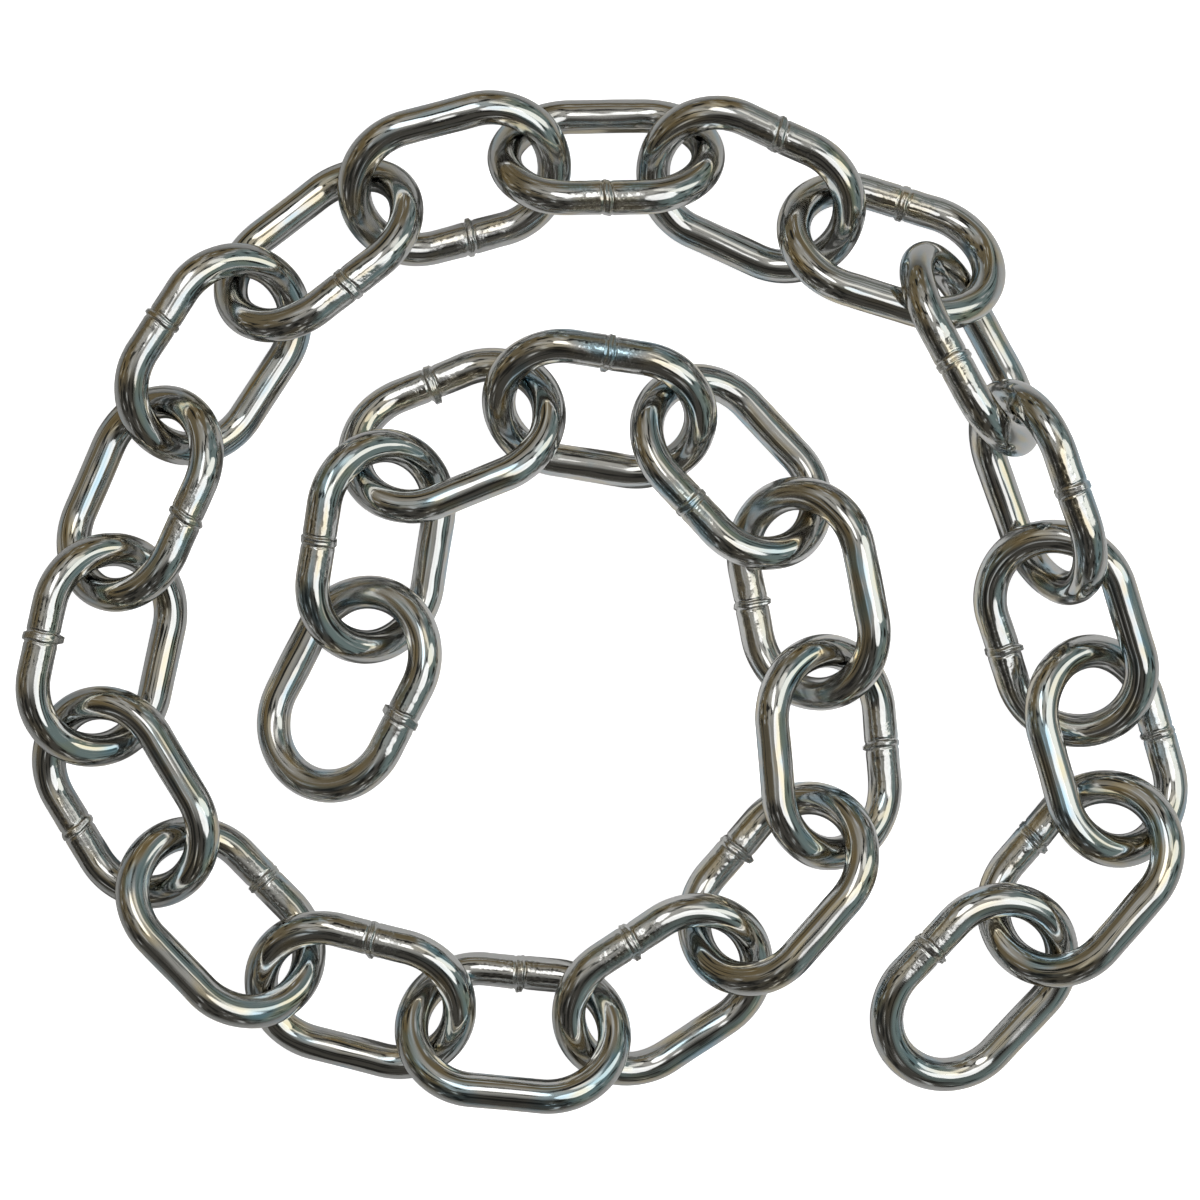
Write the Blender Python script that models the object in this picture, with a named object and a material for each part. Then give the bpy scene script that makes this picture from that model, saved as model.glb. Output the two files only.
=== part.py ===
"""A length of welded steel chain, zinc plated, lying on the floor in an open spiral.

Each link is one closed ring of round wire, with the low ridge of its butt weld round the
middle of one leg. The links hang loosely in each other and lean from side to side in turn.
Metres, +Z up. The origin is the middle of the floor under the chain.
"""

import math

import bpy
import numpy as np
from mathutils import Euler

# One link, sizes in metres
WIRE_DIAMETER = 0.00635
LEG_SPACING = 0.025
LEG_LENGTH = 0.013

# The weld's ridge stands this far out of the wire, over this length of the leg
WELD_HEIGHT = 0.0004
WELD_TOP_LENGTH = 0.0008
WELD_BASE_LENGTH = 0.0020

# The air left between the wires of two links that touch
CLEARANCE = 0.0005

# Facets of the solid: sides of the wire's section, and straight pieces in each round end
SECTION_SIDES = 12
END_PIECES = 8

# Colour, roughness and metallic value of the bright zinc plate
ZINC_COLOR = (0.60, 0.61, 0.61, 1.0)
ZINC_ROUGHNESS = 0.25
ZINC_METALLIC = 1.0

# Where each link lies, read by eye against a millimetre grid, from the inner end of the
# spiral outwards, where the chain runs clockwise. First the middle of the link, in
# millimetres to the right and up the floor, then the way its length heads, in degrees
# anticlockwise from +X.
LAY = [
    (-47, -17, 63),
    (-42, 10, 81),
    (-28, 31, 22),
    (0, 36, -9),
    (25, 25, -47),
    (39, 1, -79),
    (43, -28, -85),
    (33, -54, -131),
    (12, -73, -147),
    (-16, -81, 175),
    (-45, -74, 166),
    (-71, -60, 134),
    (-89, -37, 121),
    (-93, -9, 78),
    (-86, 19, 67),
    (-72, 46, 57),
    (-53, 65, 38),
    (-27, 79, 15),
    (1, 83, 1),
    (29, 76, -24),
    (54, 66, -17),
    (69, 47, -61),
    (81, 20, -70),
    (87, -7, -72),
    (95, -28, -74),
    (90, -52, -130),
    (70, -73, -133),
]

# The links with the weld in the leg that faces out of the spiral. The rest have it inside.
WELD_OUTSIDE = {2, 3, 4, 7, 13, 14, 16, 20, 21, 23, 25}

# The links lean in turn, the odd ones with the inner leg up and the even ones with the outer
# leg up, by this many degrees or by those read for a single link. A minus sign is for a link
# that leans the other way from its turn.
USUAL_LEAN = 33
OTHER_LEAN = {
    1: 20, 4: 30, 9: 22, 11: 18, 13: 22, 17: 40, 18: 28, 19: 45, 20: 30, 21: 37,
    22: -65, 23: -65, 24: 20, 25: 29, 26: 28, 27: 14,
}

# Two links ride up on the steep link behind them, so their leading end lies this many degrees
# lower than the other.
LEADING_END_LOWER = {23: 10, 24: 6}

# This link keeps its lean, so that one side of its section lies flat on the floor
FLAT_LYING_LINK = 19

# Each link is eased until it rests on its neighbours, in rounds, with steps no larger than
# these: millimetres right and up, then degrees of lean and of rise of the leading end.
# Nearness is measured at so many points on each straight piece of the wire.
EASING_ROUNDS = 60
POINTS_A_PIECE = 8
EASING_STEPS = np.array([0.1, 0.1, 0.5, 0.5])


def section_radius():
    """The radius of the corners of a section that has the area of the round wire."""
    corner_angle = 2 * math.pi / SECTION_SIDES
    return WIRE_DIAMETER / 2 * math.sqrt(corner_angle / math.sin(corner_angle))


def round_end(sign):
    """The wire's middle line round one end of the link, sign +1 or -1 along X."""
    radius = LEG_SPACING / 2
    points = []
    for piece in range(END_PIECES + 1):
        angle = math.pi * (piece / END_PIECES - 0.5)
        along = LEG_LENGTH / 2 + radius * math.cos(angle)
        points.append((sign * along, sign * radius * math.sin(angle), 1.0))
    return points


def weld_ridge():
    """The points of the ridge across the leg at +Y, each with its swelling of the wire."""
    swollen = 1 + WELD_HEIGHT / (WIRE_DIAMETER / 2)
    half_base = WELD_BASE_LENGTH / 2
    half_top = WELD_TOP_LENGTH / 2
    side = LEG_SPACING / 2
    return [
        (half_base, side, 1.0),
        (half_top, side, swollen),
        (-half_top, side, swollen),
        (-half_base, side, 1.0),
    ]


def link_mesh():
    """One link, flat in the XY plane with its length along X and its weld at +Y."""
    outline = round_end(1) + weld_ridge() + round_end(-1)
    curve = bpy.data.curves.new("link_wire", "CURVE")
    curve.dimensions = "3D"
    curve.twist_mode = "Z_UP"
    curve.bevel_depth = section_radius()
    curve.bevel_resolution = (SECTION_SIDES - 4) // 2
    spline = curve.splines.new("POLY")
    spline.points.add(len(outline) - 1)
    spline.use_cyclic_u = True
    for point, (x, y, swelling) in zip(spline.points, outline):
        point.co = (x, y, 0, 1)
        point.radius = swelling
    wire = bpy.data.objects.new("link_wire", curve)
    bpy.context.scene.collection.objects.link(wire)
    evaluated = wire.evaluated_get(bpy.context.evaluated_depsgraph_get())
    mesh = bpy.data.meshes.new_from_object(evaluated)
    bpy.data.objects.remove(wire)
    mesh.name = "link"
    mesh.shade_smooth()
    return mesh


def zinc_plate():
    """Bright zinc plate over steel."""
    material = bpy.data.materials.new("zinc_plate")
    material.use_nodes = True
    shader = material.node_tree.nodes["Principled BSDF"]
    shader.inputs["Base Color"].default_value = ZINC_COLOR
    shader.inputs["Roughness"].default_value = ZINC_ROUGHNESS
    shader.inputs["Metallic"].default_value = ZINC_METALLIC
    return material


def first_lie(number):
    """A link's place, lean and rise before easing."""
    right, up, _ = LAY[number - 1]
    lean = OTHER_LEAN.get(number, USUAL_LEAN)
    rise = -LEADING_END_LOWER.get(number, 0)
    return np.array([right, up, lean if number % 2 else -lean, rise], dtype=float)


def turn_of(number, lie):
    """The turn that leans a link, raises its leading end and heads it along the spiral."""
    heading = LAY[number - 1][2]
    lean, rise = lie[2:]
    roll = -lean if number in WELD_OUTSIDE else 180 - lean
    return Euler((math.radians(roll), math.radians(-rise), math.radians(heading)))


def place_of(number, lie, corners):
    """The link's middle when its lowest corner stands on the floor."""
    turn = np.array(turn_of(number, lie).to_matrix())
    lowest = (corners @ turn.T)[:, 2].min()
    return np.array([lie[0] / 1000, lie[1] / 1000, -lowest])


def points_where_it_lies(number, lie, corners, points):
    """Points of a link, moved from the flat link to where it lies."""
    turn = np.array(turn_of(number, lie).to_matrix())
    return points @ turn.T + place_of(number, lie, corners)


def middle_line():
    """Close-set points along each straight piece of the wire's middle line."""
    outline = [(x, y, 0) for x, y, _ in round_end(1) + round_end(-1)]
    pieces = zip(outline, outline[1:] + outline[:1])
    runs = [np.linspace(start, end, POINTS_A_PIECE, endpoint=False) for start, end in pieces]
    return np.vstack(runs)


def slopes(number, lie, corners, point, other):
    """How fast a link's point leaves another link's point for each of the easing steps."""
    here = np.linalg.norm(points_where_it_lies(number, lie, corners, point) - other)
    rates = []
    for step in np.diag(EASING_STEPS) / 10:
        moved = points_where_it_lies(number, lie + step, corners, point)
        rates.append((np.linalg.norm(moved - other) - here) * 10)
    return np.array(rates)


def ease_pair(number, lies, corners, line):
    """Moves a link and the next one a little, towards a light touch."""
    pair = (number, number + 1)
    lines = [points_where_it_lies(each, lies[each], corners, line) for each in pair]
    apart = np.linalg.norm(lines[0][:, None] - lines[1][None, :], axis=2)
    nearest = np.unravel_index(apart.argmin(), apart.shape)
    short = WIRE_DIAMETER + CLEARANCE - apart[nearest]
    ends = [lines[0][nearest[0]], lines[1][nearest[1]]]
    rates = []
    for each, point, other in zip(pair, nearest, reversed(ends)):
        rate = slopes(each, lies[each], corners, line[point], other)
        if each == FLAT_LYING_LINK:
            rate[2:] = 0
        rates.append(rate)
    total = sum((rate**2).sum() for rate in rates)
    for each, rate in zip(pair, rates):
        lies[each] = lies[each] + EASING_STEPS * np.clip(short * rate / total, -1, 1)


def eased_lies(corners):
    """How every link lies once each rests on its neighbours."""
    lies = {number: first_lie(number) for number in range(1, len(LAY) + 1)}
    line = middle_line()
    for _ in range(EASING_ROUNDS):
        for number in range(1, len(LAY)):
            ease_pair(number, lies, corners, line)
    return lies


def lay_link(number, lie, mesh, corners, collection, parent):
    """Adds one link where it lies."""
    link = bpy.data.objects.new(f"link_{number:02d}", mesh)
    collection.objects.link(link)
    link.parent = parent
    link.rotation_euler = turn_of(number, lie)
    link.location = place_of(number, lie, corners)
    return link


def floor_middle(links):
    """The middle, on the floor, of the box round all the links."""
    bpy.context.view_layer.update()
    corners = [link.matrix_world @ vertex.co for link in links for vertex in link.data.vertices]
    across = [corner.x for corner in corners]
    along = [corner.y for corner in corners]
    return (min(across) + max(across)) / 2, (min(along) + max(along)) / 2


for old in list(bpy.data.objects):
    bpy.data.objects.remove(old, do_unlink=True)

chain = bpy.data.collections.new("chain")
bpy.context.scene.collection.children.link(chain)
lie_of_the_chain = bpy.data.objects.new("lie_of_the_chain", None)
chain.objects.link(lie_of_the_chain)

ring = link_mesh()
ring.materials.append(zinc_plate())
ring_corners = np.array([vertex.co for vertex in ring.vertices])
links = []
for number, lie in eased_lies(ring_corners).items():
    links.append(lay_link(number, lie, ring, ring_corners, chain, lie_of_the_chain))
middle_x, middle_y = floor_middle(links)
lie_of_the_chain.location = (-middle_x, -middle_y, 0)
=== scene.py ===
"""A length of welded steel chain, zinc plated, lying on a white floor in an open spiral.

Metres, +Z up, in the frame of the chain's solids. Each link is made anew over its solid, with
the fine relief of the bent wire and its weld, and every link differs a little.
"""

import math
import random

import bpy
import numpy as np
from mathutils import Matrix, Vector


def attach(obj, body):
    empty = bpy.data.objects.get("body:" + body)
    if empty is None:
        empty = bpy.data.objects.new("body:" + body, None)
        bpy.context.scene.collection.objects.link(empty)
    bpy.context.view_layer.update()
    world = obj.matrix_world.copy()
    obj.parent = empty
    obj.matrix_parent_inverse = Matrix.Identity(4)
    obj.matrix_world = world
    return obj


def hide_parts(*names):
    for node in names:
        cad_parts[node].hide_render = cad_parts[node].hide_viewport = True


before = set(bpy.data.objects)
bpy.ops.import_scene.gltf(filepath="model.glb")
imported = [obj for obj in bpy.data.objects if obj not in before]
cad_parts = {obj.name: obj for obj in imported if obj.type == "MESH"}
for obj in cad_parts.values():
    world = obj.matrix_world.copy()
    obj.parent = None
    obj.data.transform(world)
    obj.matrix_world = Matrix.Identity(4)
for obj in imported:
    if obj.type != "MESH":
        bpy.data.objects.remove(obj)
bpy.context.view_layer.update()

# Bent wire
# Each link starts as a piece of round steel wire, cold bent round a former into a ring with
# two straight legs. The legs come out bowed in a little, the round ends a little flattened,
# and the drawn surface runs in slow waves.
WIRE_RADIUS = 0.003175
LEG_SPACING = 0.025
LEG_LENGTH = 0.013
BEND_RADIUS = LEG_SPACING / 2
BEND_LENGTH = math.pi * BEND_RADIUS
HALF_ROUND = LEG_LENGTH + BEND_LENGTH
BEND_FLATTENING = 0.012
FULL_TURN = 2 * math.pi

# How finely the mesh is divided: round the wire, and along it in three zones from the weld
SIDES = 60
WELD_ZONE = 0.0024
CLAMPED_ZONE = 0.0100
PLACES_AT_WELD = 21
PLACES_UNDER_CLAMPS = 26
PLACES_BEYOND = 70

# The largest bow of a leg, and the shares of it that the least bow and a bow up or down have
LEG_BOW = 0.00022
LEAST_BOW = 0.3
BOW_UP_OR_DOWN = 0.25

# Slow waves, and how many folds one of them may have round the wire
WAVES = 12
WAVE_HEIGHT = 0.000013
SHORTEST_WAVE = 0.010
WAVE_FOLDS = (0, 1, 2, 2, 3, 3, 4)


def places_along_wire():
    """Distances along the wire from the weld, closest together at the weld."""
    near = np.linspace(0, WELD_ZONE, PLACES_AT_WELD)
    beside = np.linspace(WELD_ZONE, CLAMPED_ZONE, PLACES_UNDER_CLAMPS)[1:]
    far = np.linspace(CLAMPED_ZONE, HALF_ROUND, PLACES_BEYOND)[1:]
    ahead = np.concatenate((near, beside, far))
    return np.concatenate((-ahead[-2:0:-1], ahead))


def bent_wire(along):
    """The wire's middle line, its direction out of the ring, and how much it bends there."""
    round_ring = np.mod(along, 2 * HALF_ROUND)
    returning = round_ring > HALF_ROUND
    part = np.where(returning, round_ring - HALF_ROUND, round_ring)
    half_leg = LEG_LENGTH / 2
    turn = np.clip((part - half_leg) / BEND_RADIUS, 0, math.pi)
    leg = np.minimum(part, half_leg) - np.maximum(part - half_leg - BEND_LENGTH, 0)
    sign = np.where(returning, -1, 1)
    flat = np.zeros(len(along))
    out = np.stack((sign * np.sin(turn), sign * np.cos(turn), flat), axis=1)
    middle = np.stack((sign * leg, flat, flat), axis=1) + BEND_RADIUS * out
    return middle, out, np.sin(turn)


def leg_bows(middle, dice):
    """Bows each leg a little into the ring, and a little up or down."""
    shift = np.zeros(middle.shape)
    fade = np.cos(np.clip(middle[:, 0] / (LEG_LENGTH + BEND_RADIUS), -1, 1) * math.pi / 2) ** 2
    for side in (1, -1):
        here = fade * (np.sign(middle[:, 1]) == side)
        shift[:, 1] -= side * here * LEG_BOW * dice.uniform(LEAST_BOW, 1)
        shift[:, 2] += here * LEG_BOW * dice.uniform(-BOW_UP_OR_DOWN, BOW_UP_OR_DOWN)
    return shift


def slow_waves(along, around, dice):
    """Slow waves in the wire's surface, which meet where the ring closes."""
    total = np.zeros((len(along), len(around)))
    most = int(2 * HALF_ROUND / SHORTEST_WAVE)
    for _ in range(WAVES):
        cycles = dice.randint(1, most)
        folds = dice.choice(WAVE_FOLDS)
        rise = np.cos(cycles * math.pi * along / HALF_ROUND + dice.uniform(0, FULL_TURN))
        total += rise[:, None] * np.cos(folds * around + dice.uniform(0, FULL_TURN))[None, :]
    return WAVE_HEIGHT * total


# Butt weld
# The wire's two ends meet in the middle of one leg, are gripped between clamps and pressed
# together hot. That leaves a collar round the joint with a tip on its inner and outer side, a
# slight step, a groove on each side, long flats where the clamps gripped, and small dents.
COLLAR_HEIGHT = 0.00019
COLLAR_HEIGHT_SHARES = (0.7, 1.1)
COLLAR_HALF_WIDTHS = (0.00028, 0.00062)
COLLAR_EDGE = 0.00022
COLLAR_SLANT = 0.20

# The collar wanders along the wire in slow and quick folds, and its crest is rough likewise
SLOW_FOLDS = 2
QUICK_FOLDS = 5
CREST_FOLDS = 7
WOBBLE = 0.00014
QUICK_WOBBLE = 0.6
SLOW_CREST = 0.4
QUICK_CREST = 0.3
FOLDS_TURN = 6

# The seam in the collar, its two tips and the groove on each side of it
SEAM_DEPTH = 0.00006
SEAM_REACH = 0.00016
OUTER_TIP = 0.00032
INNER_TIP = 0.00090
TIP_SHARES = (0.6, 1.0)
TIP_ANGLE = 0.26
TIP_SHIFT = 0.3
GROOVE_DEPTH = 0.00014
GROOVE_GAP = 0.00045
GROOVE_REACH = 0.00024

# The wire is a little thicker at the weld, where it was pressed, and one end stands a little
# off the other
UPSET_HEIGHT = 0.00004
UPSET_REACH = 0.0024
STEP = 0.00012
STEP_REACH = 0.004

# Flats from the clamps. Each takes this much of the wire's round to either side of its middle.
CLAMP_FLATS = 3
FLAT_LENGTH = 0.0090
FLAT_LENGTH_SHARES = (0.5, 1.0)
FLAT_HALF_ANGLES = (0.10, 0.24)
FLAT_END_SHARPNESS = 8
PAST_ANY_FLAT = 1

DENTS = 40
DENT_SPREAD = 0.0040
DENT_REACHES = (0.0004, 0.0011)
DENT_STRETCHES = (1.0, 1.8)
DENT_DEPTH = 0.000022
DENT_DEPTH_SHARES = (0.3, 1.2)


def bump(distance, reach):
    """A smooth bump, 1 at its middle and nearly 0 at twice its reach."""
    return np.exp(-((distance / reach) ** 2))


def angle_apart(around, angle):
    """How far round the wire each place lies from an angle, to either side."""
    return np.mod(around - angle + math.pi, FULL_TURN) - math.pi


def turned_folds(around, folds, dice):
    """Even folds round the wire, turned by chance."""
    return np.cos(folds * around + dice.uniform(0, FOLDS_TURN))


def collar(across, around, dice):
    """The collar of the weld, its rough crest, its seam, its two tips and its two grooves."""
    wander = turned_folds(around, SLOW_FOLDS, dice)
    wander += QUICK_WOBBLE * turned_folds(around, QUICK_FOLDS, dice)
    across = across + WOBBLE * wander[None, :]
    half_top = dice.uniform(*COLLAR_HALF_WIDTHS)
    beyond = np.maximum(np.abs(across) - half_top, 0)
    rough = 1 + SLOW_CREST * turned_folds(around, SLOW_FOLDS, dice)
    rough += QUICK_CREST * np.cos(CREST_FOLDS * around)
    crest = COLLAR_HEIGHT * dice.uniform(*COLLAR_HEIGHT_SHARES)
    height = crest * bump(beyond, COLLAR_EDGE) * rough[None, :]
    height -= SEAM_DEPTH * dice.random() * bump(across, SEAM_REACH)
    for side, highest in ((0, OUTER_TIP), (math.pi, INNER_TIP)):
        tip = highest * dice.uniform(*TIP_SHARES)
        place = side + dice.uniform(-TIP_SHIFT, TIP_SHIFT)
        height += tip * bump(beyond, COLLAR_EDGE) * bump(angle_apart(around, place), TIP_ANGLE)
    return height - GROOVE_DEPTH * bump(beyond - GROOVE_GAP, GROOVE_REACH)


def clamp_flats(along, around, dice):
    """Long flats that the clamps press into the wire, in line on both sides of the weld."""
    height = np.zeros((len(along), len(around)))
    for _ in range(CLAMP_FLATS):
        apart = angle_apart(around, dice.uniform(0, FULL_TURN))
        apart = np.clip(apart, -PAST_ANY_FLAT, PAST_ANY_FLAT)
        for side in (-1, 1):
            half_width = dice.uniform(*FLAT_HALF_ANGLES)
            reach = FLAT_LENGTH * dice.uniform(*FLAT_LENGTH_SHARES)
            chord = np.minimum(WIRE_RADIUS * (math.cos(half_width) / np.cos(apart) - 1), 0)
            gripped = (side * along > 0) * np.exp(-((along / reach) ** FLAT_END_SHARPNESS))
            height += gripped[:, None] * chord[None, :]
    return height


def dents(along, around, dice):
    """Small dents, most of them close to the weld."""
    height = np.zeros((len(along), len(around)))
    for _ in range(DENTS):
        reach = dice.uniform(*DENT_REACHES)
        place = dice.gauss(0, DENT_SPREAD)
        side = angle_apart(around, dice.uniform(0, FULL_TURN))[None, :] * WIRE_RADIUS
        length = reach * dice.uniform(*DENT_STRETCHES)
        dent = bump(along - place, length)[:, None] * bump(side, reach)
        height -= DENT_DEPTH * dice.uniform(*DENT_DEPTH_SHARES) * dent
    return height


def weld_relief(along, around, dice):
    """How far the weld and the clamps raise or lower the wire's surface."""
    slant = dice.uniform(-COLLAR_SLANT, COLLAR_SLANT)
    turned = dice.uniform(0, FULL_TURN)
    across = along[:, None] - slant * WIRE_RADIUS * np.cos(around - turned)[None, :]
    height = collar(across, around, dice)
    height += UPSET_HEIGHT * bump(along, UPSET_REACH)[:, None]
    return height + clamp_flats(along, around, dice) + dents(along, around, dice)


def weld_step(along, dice):
    """The slight step between the two ends, which fades along the leg."""
    side = np.array((0, dice.uniform(-1, 1), dice.uniform(-1, 1))) * STEP
    fade = np.tanh(along / COLLAR_EDGE) * np.exp(-np.abs(along) / STEP_REACH)
    return fade[:, None] * side


# Zinc plate
# The finished chain is plated bright with zinc. The plate mirrors the room, with fine lines
# drawn along the wire, faint blue and straw tints, and a duller pitted skin beside the weld.
ZINC = (0.62, 0.62, 0.61, 1)
ZINC_BLUE = (0.43, 0.58, 0.67, 1)
ZINC_STRAW = (0.69, 0.62, 0.47, 1)

# The roughness of bright plate, and what clouds and scuffs add to it
POLISHED = 0.06
CLOUDED = 0.09
SCUFFED = 0.13

LINE_DEPTH = 0.000012
RIPPLE_DEPTH = 0.00005
PIT_DEPTH = 0.00007

# Noise on the wire. A stretch under 1 draws it out along the wire.
LINES = {"scale": 2600, "stretch": 0.06}
RIPPLES = {"scale": 460, "stretch": 0.35}
PITS = {"scale": 1150, "detail": 2}
SKIN_PATCHES = {"scale": 420, "detail": 2}
BLUE_CLOUDS = {"scale": 300, "stretch": 0.25}
STRAW_CLOUDS = {"scale": 380, "stretch": 0.30}
SMALL_CLOUDS = {"scale": 330, "stretch": 0.5, "detail": 2}
LONG_CLOUDS = {"scale": 40, "stretch": 0.5}

# Where each effect starts and where it is full: first distances from the weld, then noise
BESIDE_WELD = (0.0095, 0.0015)
ON_COLLAR = (0.0014, 0.0006)
IN_SKIN_PATCHES = (0.42, 0.62)
IN_BLUE_CLOUDS = (0.56, 0.72)
IN_STRAW_CLOUDS = (0.54, 0.72)
IN_SMALL_CLOUDS = (0.45, 0.75)
IN_LONG_CLOUDS = (0.50, 0.70)


def new_group(name, outputs):
    """An empty node group for the wire's surface, with its named outputs."""
    group = bpy.data.node_groups.new(name, "ShaderNodeTree")
    group.interface.new_socket("Place", in_out="INPUT", socket_type="NodeSocketVector")
    for label, kind in outputs:
        group.interface.new_socket(label, in_out="OUTPUT", socket_type=kind)
    return group, group.nodes.new("NodeGroupInput"), group.nodes.new("NodeGroupOutput")


def joined(tree, node, inputs):
    """Gives a node its inputs, each a number, a colour or the output of another node."""
    for label, value in inputs.items():
        if isinstance(value, bpy.types.NodeSocket):
            tree.links.new(value, node.inputs[label])
        else:
            node.inputs[label].default_value = value
    return node


def maths(tree, operation, first, second):
    """A sum, product or the like of two values."""
    node = tree.nodes.new("ShaderNodeMath")
    node.operation = operation
    return joined(tree, node, {0: first, 1: second}).outputs["Value"]


def ramp(tree, value, low, high):
    """Turns a value between low and high into one between 0 and 1."""
    node = tree.nodes.new("ShaderNodeMapRange")
    limits = {"Value": value, "From Min": low, "From Max": high}
    return joined(tree, node, limits).outputs["Result"]


def blended(tree, mask, first, second):
    """The first colour, with the second one laid over it where the mask is 1."""
    node = tree.nodes.new("ShaderNodeMix")
    node.data_type = "RGBA"
    inputs = [socket for socket in node.inputs if socket.enabled]
    for socket, value in zip(inputs, (mask, first, second)):
        if isinstance(value, bpy.types.NodeSocket):
            tree.links.new(value, socket)
        else:
            socket.default_value = value
    return [socket for socket in node.outputs if socket.enabled][0]


def wire_noise(tree, place, scale, stretch=1.0, detail=1.0):
    """Noise on the wire's surface, drawn out along the wire where stretch is under 1."""
    shape = tree.nodes.new("ShaderNodeMapping")
    joined(tree, shape, {"Vector": place, "Scale": (1, 1, stretch)})
    node = tree.nodes.new("ShaderNodeTexNoise")
    inputs = {"Vector": shape.outputs["Vector"], "Scale": scale, "Detail": detail}
    return joined(tree, node, inputs).outputs["Fac"]


def drawn_lines():
    """Fine lines and slow ripples along the wire, as heights."""
    group, start, end = new_group("drawn lines", [("Height", "NodeSocketFloat")])
    place = start.outputs["Place"]
    lines = maths(group, "MULTIPLY", wire_noise(group, place, **LINES), LINE_DEPTH)
    ripples = maths(group, "MULTIPLY", wire_noise(group, place, **RIPPLES), RIPPLE_DEPTH)
    group.links.new(maths(group, "ADD", lines, ripples), end.inputs["Height"])
    return group


def pitted_skin():
    """Where the skin beside the weld is scuffed, and the depth of its pits."""
    group, start, end = new_group(
        "pitted skin", [("Mask", "NodeSocketFloat"), ("Height", "NodeSocketFloat")])
    place = start.outputs["Place"]
    parts = group.nodes.new("ShaderNodeSeparateXYZ")
    group.links.new(place, parts.inputs["Vector"])
    distance = parts.outputs["Z"]
    near = ramp(group, distance, *BESIDE_WELD)
    patches = ramp(group, wire_noise(group, place, **SKIN_PATCHES), *IN_SKIN_PATCHES)
    crest = ramp(group, distance, *ON_COLLAR)
    mask = maths(group, "MAXIMUM", maths(group, "MULTIPLY", near, patches), crest)
    pits = maths(group, "MULTIPLY", wire_noise(group, place, **PITS), PIT_DEPTH)
    group.links.new(mask, end.inputs["Mask"])
    group.links.new(maths(group, "MULTIPLY", pits, mask), end.inputs["Height"])
    return group


def plate_tints():
    """The plate's colour, with faint blue and straw clouds drawn out along the wire."""
    group, start, end = new_group("plate tints", [("Color", "NodeSocketColor")])
    place = start.outputs["Place"]
    blue = ramp(group, wire_noise(group, place, **BLUE_CLOUDS), *IN_BLUE_CLOUDS)
    straw = ramp(group, wire_noise(group, place, **STRAW_CLOUDS), *IN_STRAW_CLOUDS)
    cool = blended(group, blue, ZINC, ZINC_BLUE)
    group.links.new(blended(group, straw, cool, ZINC_STRAW), end.inputs["Color"])
    return group


def dull_clouds():
    """Small and long clouds where the plate is less bright."""
    group, start, end = new_group("dull clouds", [("Mask", "NodeSocketFloat")])
    place = start.outputs["Place"]
    small = ramp(group, wire_noise(group, place, **SMALL_CLOUDS), *IN_SMALL_CLOUDS)
    long = ramp(group, wire_noise(group, place, **LONG_CLOUDS), *IN_LONG_CLOUDS)
    group.links.new(maths(group, "MAXIMUM", small, long), end.inputs["Mask"])
    return group


def bright_zinc():
    """The plated surface of every link."""
    material = bpy.data.materials.new("bright_zinc_plate")
    material.use_nodes = True
    tree = material.node_tree
    shader = tree.nodes["Principled BSDF"]
    shader.inputs["Metallic"].default_value = 1.0
    place = tree.nodes.new("ShaderNodeAttribute")
    place.attribute_name = "place_on_wire"
    effects = {}
    for group in (drawn_lines(), pitted_skin(), plate_tints(), dull_clouds()):
        node = tree.nodes.new("ShaderNodeGroup")
        node.node_tree = group
        effects[group.name] = joined(tree, node, {"Place": place.outputs["Vector"]}).outputs
    skin = effects["pitted skin"]
    tree.links.new(effects["plate tints"]["Color"], shader.inputs["Base Color"])
    dull = maths(tree, "MULTIPLY", effects["dull clouds"]["Mask"], CLOUDED)
    worn = maths(tree, "MULTIPLY", skin["Mask"], SCUFFED)
    shine = maths(tree, "ADD", maths(tree, "ADD", dull, worn), POLISHED)
    tree.links.new(shine, shader.inputs["Roughness"])
    height = maths(tree, "ADD", effects["drawn lines"]["Height"], skin["Height"])
    relief = joined(tree, tree.nodes.new("ShaderNodeBump"), {"Distance": 1.0, "Height": height})
    tree.links.new(relief.outputs["Normal"], shader.inputs["Normal"])
    return material


plate = bright_zinc()

# Links of the chain
# Every link is one closed ring that was bent through its neighbour and then welded shut, so
# nothing fastens it but the links it hangs in. Each is laid where its solid lies, with its
# weld on the same leg.
LINKS = 27

# Each link takes its noise from a place of its own, this far from the last link's
APART_IN_NOISE = 0.05


def lie_of(node):
    """The middle of a link's solid, and its directions along, to the weld and up."""
    corners = np.array([vertex.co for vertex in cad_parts[node].data.vertices])
    average = corners.mean(axis=0)
    length, _, flat = np.linalg.svd(corners - average, full_matrices=False)[2]
    reach = corners @ length
    middle = (corners[reach.argmin()] + corners[reach.argmax()]) / 2
    to_weld = average - middle
    to_weld /= np.linalg.norm(to_weld)
    up = flat if flat[2] > 0 else -flat
    return middle, np.stack((np.cross(to_weld, up), to_weld, up))


def ring_faces(stations):
    """The faces of a closed tube, as corner numbers."""
    station, side = np.meshgrid(np.arange(stations), np.arange(SIDES), indexing="ij")
    ahead, beside = (station + 1) % stations, (side + 1) % SIDES
    corners = (station * SIDES + side, station * SIDES + beside,
               ahead * SIDES + beside, ahead * SIDES + side)
    return np.stack(corners, axis=-1).reshape(-1, 4)


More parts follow.
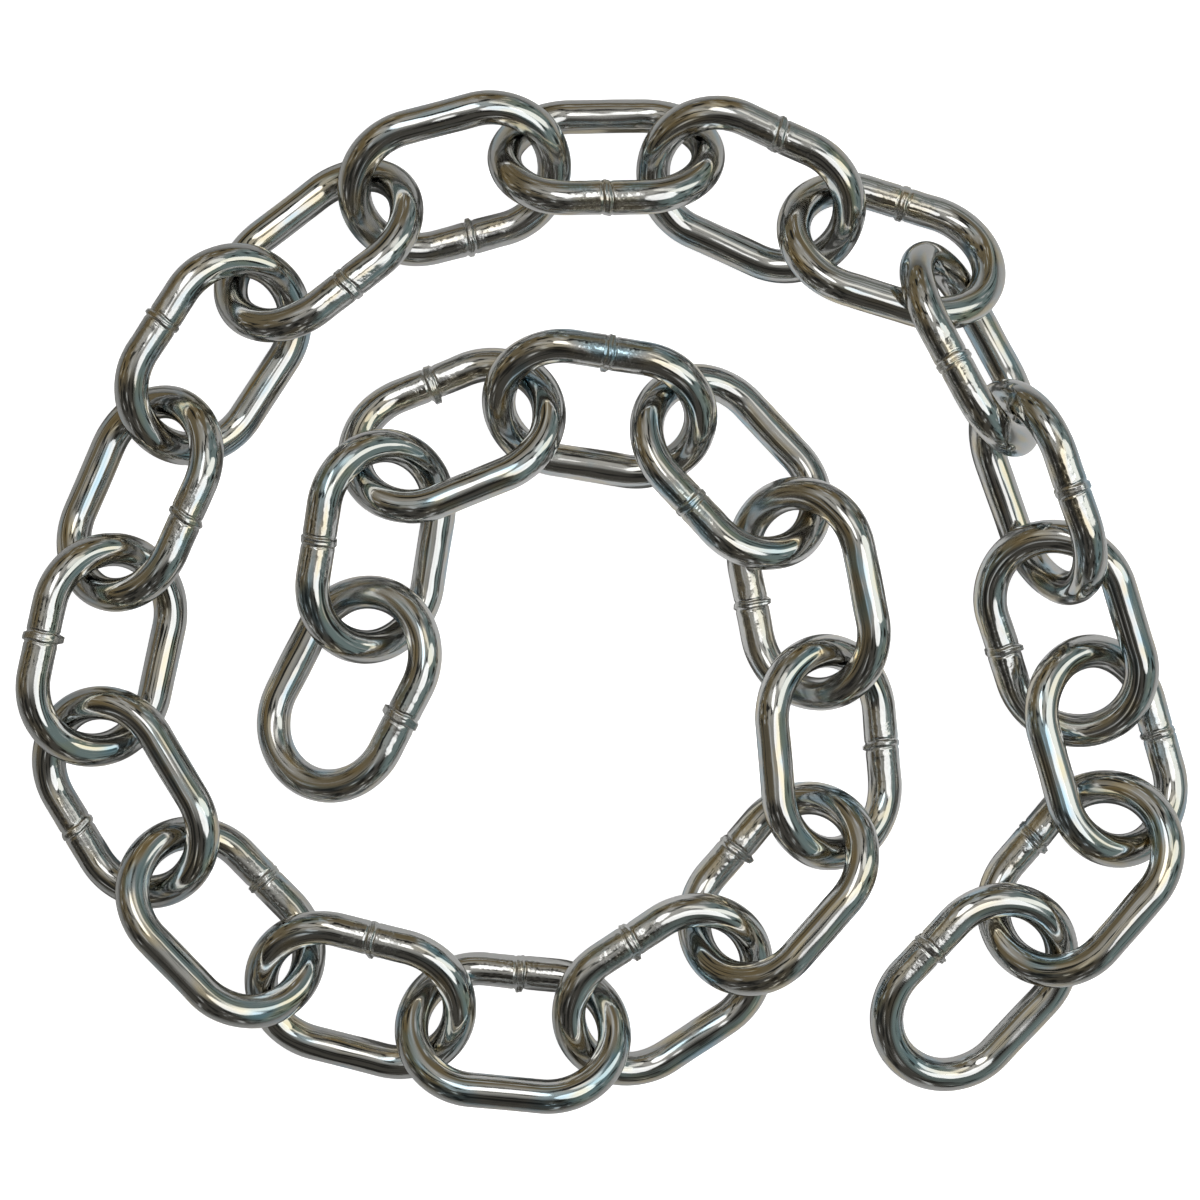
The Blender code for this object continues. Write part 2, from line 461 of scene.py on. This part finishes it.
def make_link(number):
    """One link, bent, welded and laid in its place in the chain."""
    dice = random.Random(number)
    along = places_along_wire()
    around = np.linspace(0, FULL_TURN, SIDES, endpoint=False)
    middle, out, bend = bent_wire(along)
    middle = middle + leg_bows(middle, dice) + weld_step(along, dice)
    radius = WIRE_RADIUS + slow_waves(along, around, dice) + weld_relief(along, around, dice)
    outward = radius * np.cos(around) * (1 - BEND_FLATTENING * bend)[:, None]
    upward = radius * np.sin(around) * (1 + BEND_FLATTENING * bend)[:, None]
    surface = middle[:, None] + outward[:, :, None] * out[:, None]
    surface[:, :, 2] += upward
    centre, directions = lie_of(f"link_{number:02d}")
    laid = centre + surface.reshape(-1, 3) @ directions
    laid[:, 2] -= laid[:, 2].min()
    mesh = bpy.data.meshes.new(f"chain_link_{number:02d}")
    mesh.from_pydata(laid.tolist(), [], ring_faces(len(along)).tolist())
    mesh.shade_smooth()

    place = np.stack((
        np.broadcast_to(WIRE_RADIUS * np.cos(around) + APART_IN_NOISE * number, radius.shape),
        np.broadcast_to(WIRE_RADIUS * np.sin(around), radius.shape),
        np.broadcast_to(np.abs(along)[:, None], radius.shape)), axis=-1)
    values = mesh.attributes.new("place_on_wire", "FLOAT_VECTOR", "POINT")
    values.data.foreach_set("vector", place.reshape(-1))
    mesh.materials.append(plate)
    piece = bpy.data.objects.new(f"chain_link_{number:02d}", mesh)
    bpy.context.scene.collection.objects.link(piece)
    return piece


for number in range(1, LINKS + 1):
    piece = make_link(number)
    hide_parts(f"link_{number:02d}")
    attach(piece, "root")

# Floor
# The chain lies on a sheet of plain white paper that is lit so brightly that no shadow shows.
# The glow is for the camera alone, so that the metal mirrors the paper as a middle grey.
FLOOR_SIZE = 6.0
PAPER_TONE = (0.42, 0.42, 0.42, 1)
PAPER_ROUGHNESS = 0.9
PAPER_SHEEN = 0.1
GLOW_WHITE = (1, 1, 1, 1)
CAMERA_GLOW = 1.0

floor_mesh = bpy.data.meshes.new("white_floor")
edge = FLOOR_SIZE / 2
floor_mesh.from_pydata(
    [(-edge, -edge, 0), (edge, -edge, 0), (edge, edge, 0), (-edge, edge, 0)], [], [(0, 1, 2, 3)])
floor = bpy.data.objects.new("white_floor", floor_mesh)
bpy.context.scene.collection.objects.link(floor)
paper = bpy.data.materials.new("white_paper")
paper.use_nodes = True
sheet = paper.node_tree.nodes["Principled BSDF"]
sheet.inputs["Base Color"].default_value = PAPER_TONE
sheet.inputs["Roughness"].default_value = PAPER_ROUGHNESS
sheet.inputs["Specular IOR Level"].default_value = PAPER_SHEEN
sheet.inputs["Emission Color"].default_value = GLOW_WHITE
seen_by = paper.node_tree.nodes.new("ShaderNodeLightPath")
glow = maths(paper.node_tree, "MULTIPLY", seen_by.outputs["Is Camera Ray"], CAMERA_GLOW)
paper.node_tree.links.new(glow, sheet.inputs["Emission Strength"])
floor_mesh.materials.append(paper)

# Studio light
# Four soft oval panels hang round the camera, two white and two cream, and a spot that stays
# out of the metal lights the paper. The dim room is brown at the upper left, dark at the
# bottom and cool at the right, with a soft glow at the top and some black and light patches.
LIGHT_DISTANCE = 1.2
WHITE_LIGHT = (1, 1, 1)
CREAM_LIGHT = (1, 0.98, 0.91)
MAIN_PANEL = {"azimuth": -24, "tilt": 26, "size": (0.62, 0.86), "power": 1.7}
TOP_PANEL = {"azimuth": 114, "tilt": 20, "size": (0.34, 0.64), "power": 0.82}
SMALL_PANEL = {"azimuth": 52, "tilt": 33, "size": (0.60, 0.26), "power": 0.27}
LOW_PANEL = {"azimuth": 13, "tilt": 48, "size": (0.46, 0.95), "power": 1.2}

PAPER_LIGHT = {"azimuth": 0, "tilt": 30}
PAPER_POWER = 92.0
PAPER_CONE = math.radians(12.6)
PAPER_CONE_SOFTNESS = 0.5
PAPER_LIGHT_RADIUS = 0.12
PAPER_LIGHT_SHIFT = 0.028

ROOM_GREY = (0.27, 0.275, 0.27, 1)
ROOM_BROWN = (0.175, 0.142, 0.085, 1)
ROOM_COOL = (0.19, 0.25, 0.245, 1)
ROOM_DARK = (0.075, 0.071, 0.062, 1)
ROOM_BLACK = (0.02, 0.02, 0.018, 1)
ROOM_LIGHT = (0.55, 0.56, 0.55, 1)
ROOM_PALE = (0.90, 0.90, 0.90, 1)
ROOM_GLOW = (0.54, 0.53, 0.49, 1)

# Where each part of the room starts and where it is full. That is the cosine of the angle
# from its middle, or a value of the noise for the patches.
BROWN_SIDE = {"azimuth": 145, "tilt": 90}
TO_BROWN = (0.02, 0.32)
TO_RIGHT = (0.25, 0.60)
TO_BOTTOM = (0.02, -0.40)
GLOW = {"azimuth": 112, "tilt": 24}
GLOW_EDGE = math.radians(40)
GLOW_MIDDLE = math.radians(10)
TO_GLOW = (math.cos(GLOW_EDGE), math.cos(GLOW_MIDDLE))
PATCHES = {"Scale": 4.0, "Detail": 2.0}
IN_BLACK_PATCHES = (0.44, 0.38)
IN_LIGHT_PATCHES = (0.60, 0.66)


def towards(azimuth, tilt):
    """The direction that is tilted from overhead towards an azimuth, both in degrees."""
    turn, lean = math.radians(azimuth), math.radians(tilt)
    level = math.sin(lean)
    return Vector((level * math.cos(turn), level * math.sin(turn), math.cos(lean)))


def hang(light, azimuth, tilt):
    """Hangs a light so that it faces the chain."""
    away = towards(azimuth, tilt)
    lamp = bpy.data.objects.new(light.name, light)
    lamp.location = LIGHT_DISTANCE * away
    lamp.rotation_euler = away.to_track_quat("Z", "Y").to_euler()
    lamp.visible_camera = False
    bpy.context.scene.collection.objects.link(lamp)
    return lamp


def soft_panel(name, azimuth, tilt, size, power, color):
    """Hangs one oval panel of soft light."""
    light = bpy.data.lights.new(name, "AREA")
    light.shape = "ELLIPSE"
    light.size, light.size_y = size
    light.energy = power
    light.color = color
    hang(light, azimuth, tilt)


soft_panel("main_panel", color=WHITE_LIGHT, **MAIN_PANEL)
soft_panel("top_panel", color=WHITE_LIGHT, **TOP_PANEL)
soft_panel("small_panel", color=CREAM_LIGHT, **SMALL_PANEL)
soft_panel("low_panel", color=CREAM_LIGHT, **LOW_PANEL)

spot = bpy.data.lights.new("paper_light", "SPOT")
spot.energy = PAPER_POWER
spot.spot_size = PAPER_CONE
spot.spot_blend = PAPER_CONE_SOFTNESS
spot.shadow_soft_size = PAPER_LIGHT_RADIUS
paper_lamp = hang(spot, **PAPER_LIGHT)
paper_lamp.location.x += PAPER_LIGHT_SHIFT
paper_lamp.visible_glossy = False

room = bpy.data.worlds.new("dim_room")
room.use_nodes = True
tree = room.node_tree
background = tree.nodes["Background"]
direction = tree.nodes.new("ShaderNodeTexCoord").outputs["Generated"]


def facing(azimuth, tilt):
    """How nearly the room is seen towards this direction, 1 for straight at it."""
    node = tree.nodes.new("ShaderNodeVectorMath")
    node.operation = "DOT_PRODUCT"
    return joined(tree, node, {0: direction, 1: towards(azimuth, tilt)}).outputs["Value"]


parts = joined(tree, tree.nodes.new("ShaderNodeSeparateXYZ"), {"Vector": direction}).outputs
upper_left = ramp(tree, facing(**BROWN_SIDE), *TO_BROWN)
right = ramp(tree, parts["X"], *TO_RIGHT)
bottom = ramp(tree, parts["Y"], *TO_BOTTOM)
walls = blended(tree, upper_left, ROOM_GREY, ROOM_BROWN)
walls = blended(tree, bottom, walls, ROOM_DARK)
walls = blended(tree, right, walls, ROOM_COOL)
walls = blended(tree, ramp(tree, facing(**GLOW), *TO_GLOW), walls, ROOM_GLOW)
patches = tree.nodes.new("ShaderNodeTexNoise")
patchy = joined(tree, patches, {"Vector": direction, **PATCHES}).outputs["Fac"]
walls = blended(tree, ramp(tree, patchy, *IN_BLACK_PATCHES), walls, ROOM_BLACK)
walls = blended(tree, ramp(tree, patchy, *IN_LIGHT_PATCHES), walls, ROOM_LIGHT)
seen_by = tree.nodes.new("ShaderNodeLightPath")
seen = blended(tree, seen_by.outputs["Is Camera Ray"], walls, ROOM_PALE)
tree.links.new(seen, background.inputs["Color"])
bpy.context.scene.world = room
bpy.context.scene.view_settings.view_transform = "Standard"

# Camera
# A camera with a long lens hangs over the middle of the chain. It looks straight down, with
# the picture's top towards +Y.
CAMERA_PLACE = (-0.0015, 0.0002, 0.63)
LENS = 99.5

camera_data = bpy.data.cameras.new("camera_from_above")
camera_data.lens = LENS
camera = bpy.data.objects.new("camera_from_above", camera_data)
camera.location = CAMERA_PLACE
bpy.context.scene.collection.objects.link(camera)
bpy.context.scene.camera = camera
